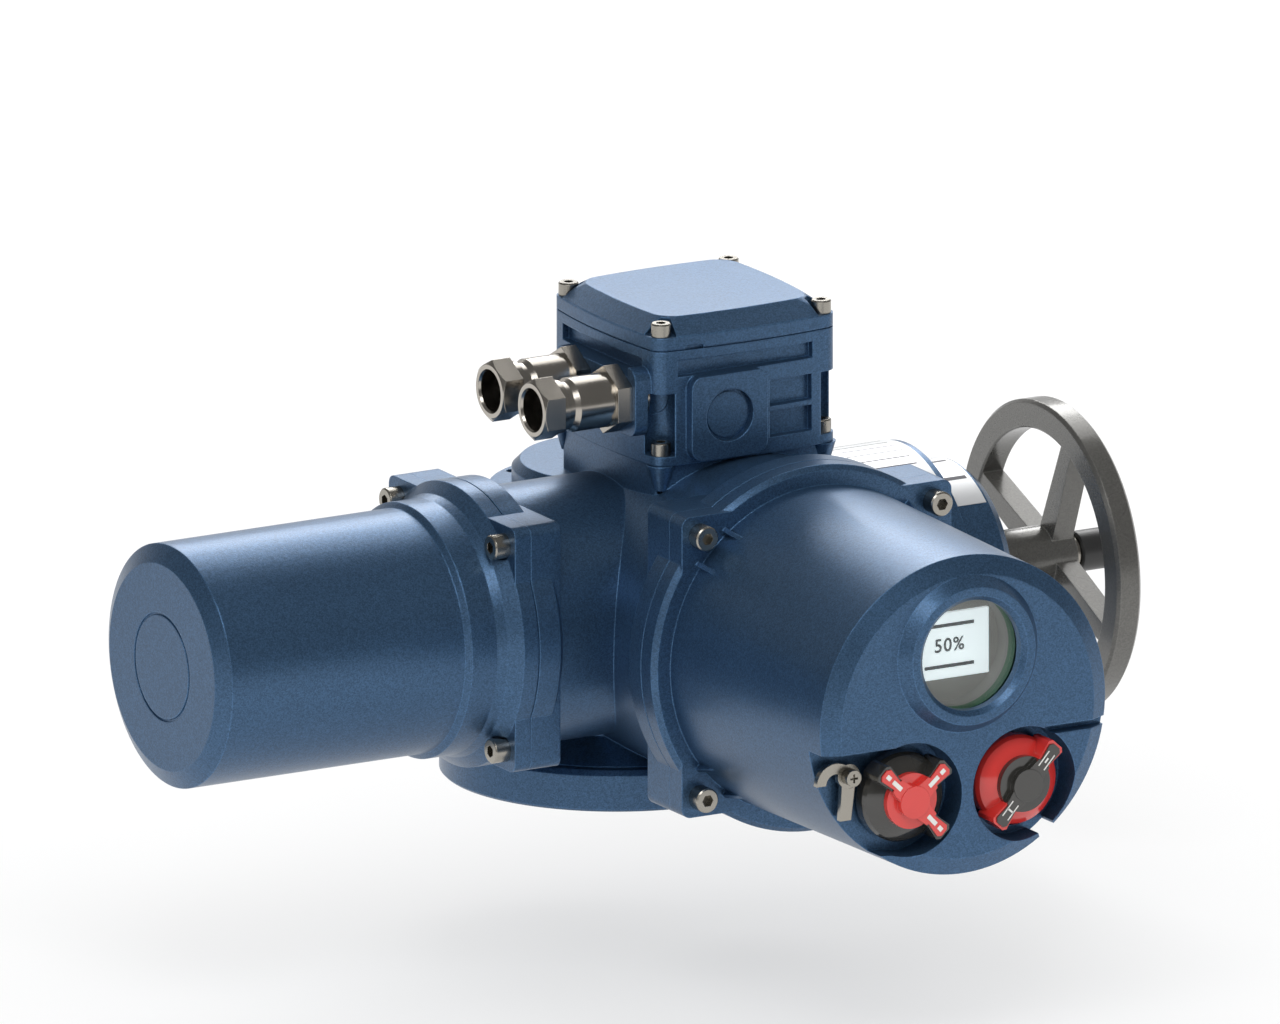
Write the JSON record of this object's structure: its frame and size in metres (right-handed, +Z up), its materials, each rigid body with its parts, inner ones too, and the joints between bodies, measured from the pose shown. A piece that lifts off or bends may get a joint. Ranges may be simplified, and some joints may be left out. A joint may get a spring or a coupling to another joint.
{
  "type": "electric valve actuator",
  "caption": "Multi-turn electric valve actuator with motor, control cover with window and knobs, terminal box, cable glands and side handwheel.",
  "frame": {"origin": "centre of the valve flange's face, on the output axis", "axes": "+Z up along the output axis, -X along the motor, -Y towards the control cover's face"},
  "size_m": [0.6909, 0.4966, 0.31],
  "materials": {
    "blue_paint": "fine-grained satin blue enamel over cast aluminium",
    "stainless": "turned stainless steel",
    "nickel": "nickel-plated brass, turned",
    "steel": "ground steel",
    "bronze": "machined bronze",
    "winding": "varnished laminations and copper",
    "wheel_black": "dark grey enamel, satin",
    "knob_black": "moulded plastic, glossy",
    "knob_red": "moulded plastic, glossy",
    "rubber_black": "moulded rubber",
    "seal_green": "moulded rubber",
    "glass": "clear toughened glass",
    "display_grey": "moulded plastic",
    "display_white": "back-lit display panel",
    "board_green": "lacquered circuit board",
    "terminal_tan": "moulded terminal block"
  },
  "bodies": {
    "housing": {"valve_flange": "blue_paint", "gearcase": "blue_paint", "base_screws": "stainless", "lower_bearing": "steel", "upper_bearing": "steel", "motor_cover": "blue_paint", "motor_screws": "stainless", "stator": "winding", "worm_bearings": "steel", "control_cover": "blue_paint", "control_screws": "stainless", "control_board": "board_green", "window_glass": "glass", "window_seal": "seal_green", "display_housing": "display_grey", "display_panel": "display_white", "latch_screw": "stainless", "terminal_box": "blue_paint", "terminal_block": "terminal_tan", "terminal_lid": "blue_paint", "lid_screws": "stainless", "box_screws": "stainless", "gland_bodies": "nickel", "gland_nuts": "nickel", "gland_seals": "rubber_black", "blanking_plug": "blue_paint", "hand_drive_cover": "blue_paint", "cover_screws": "stainless", "hand_bearing": "steel"},
    "output": {"drive_sleeve": "steel", "worm_wheel": "bronze"},
    "worm": {"worm_shaft": "steel", "rotor": "steel"},
    "crown": {"crown_wheel": "steel"},
    "hand_drive": {"hand_shaft": "steel", "hand_pinion": "steel", "handwheel": "wheel_black", "grip_pin": "stainless"},
    "grip": {"hand_grip": "rubber_black"},
    "mode_selector": {"mode_knob": "knob_black", "mode_knob_insert": "knob_red"},
    "command_selector": {"command_knob": "knob_red", "command_knob_insert": "knob_black"},
    "latch": {"lock_latch": "stainless"}
  },
  "joints": [
    {"name": "worm_turn", "type": "hinge", "parent": "housing", "child": "worm", "pos_m": [0, -0.06, 0.1213], "axis": [1, 0, 0], "continuous": true},
    {"name": "output_turn", "type": "hinge", "parent": "housing", "child": "output", "pos_m": [0, 0, 0.1], "axis": [0, 0, 1], "continuous": true},
    {"name": "handwheel_turn", "type": "hinge", "parent": "housing", "child": "hand_drive", "pos_m": [0.25, 0, 0.09], "axis": [1, 0, 0], "continuous": true},
    {"name": "crown_turn", "type": "hinge", "parent": "housing", "child": "crown", "pos_m": [0, 0, 0.064], "axis": [0, 0, 1], "continuous": true},
    {"name": "grip_turn", "type": "hinge", "parent": "hand_drive", "child": "grip", "pos_m": [0.325, 0, 0.09], "axis": [1, 0, 0], "continuous": true},
    {"name": "mode_turn", "type": "hinge", "parent": "housing", "child": "mode_selector", "pos_m": [-0.0195, -0.3639, 0.0708], "axis": [0, -1, 0], "range_deg": [-45, 45]},
    {"name": "command_turn", "type": "hinge", "parent": "housing", "child": "command_selector", "pos_m": [0.0581, -0.3639, 0.0708], "axis": [0, -1, 0], "range_deg": [-45, 45], "stiffness_Nm_per_rad": 0.3},
    {"name": "latch_turn", "type": "hinge", "parent": "housing", "child": "latch", "pos_m": [-0.0548, -0.3674, 0.0875], "axis": [0, 1, 0], "range_deg": [-5, 40]}
  ],
  "couplings": [
    {"joint": "output_turn", "follows": "worm_turn", "ratio": 0.025},
    {"joint": "crown_turn", "follows": "handwheel_turn", "ratio": 0.44444}
  ]
}
